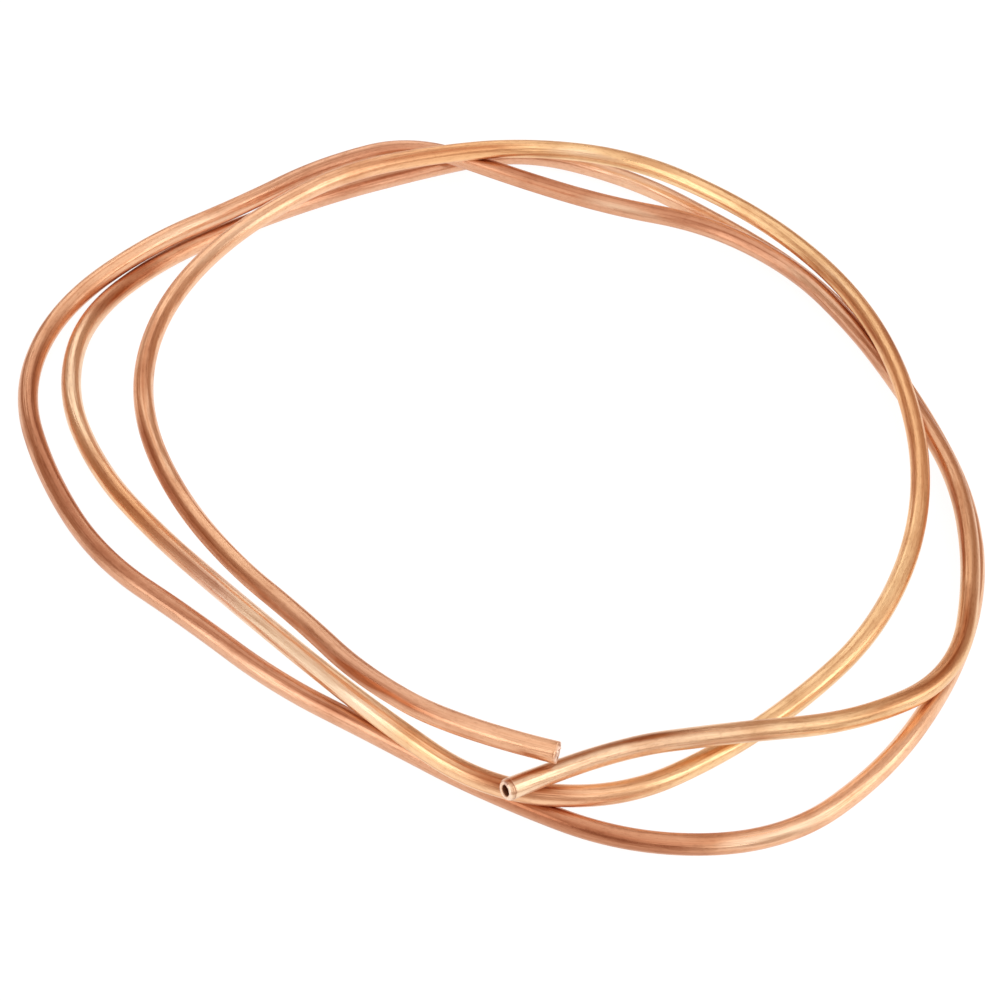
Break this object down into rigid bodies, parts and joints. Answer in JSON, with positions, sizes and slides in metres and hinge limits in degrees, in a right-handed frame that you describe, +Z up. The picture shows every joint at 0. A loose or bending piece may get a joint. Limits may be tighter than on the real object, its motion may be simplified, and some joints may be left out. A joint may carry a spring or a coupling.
{
  "type": "copper tube coil",
  "caption": "Loose coil of soft round copper tube in open overlapping turns, with both plain cut ends free, to bend and join into a fluid line.",
  "frame": {"origin": "on the floor plane, in the middle of the coil's box", "axes": "+Z up from the floor that the coil lies on, +X to the right as seen from the cut ends, which are at -Y"},
  "size_m": [0.2452, 0.2423, 0.0225],
  "materials": {
    "copper": "polished"
  },
  "bodies": {
    "root": {"copper_tube": "copper"}
  },
  "joints": []
}
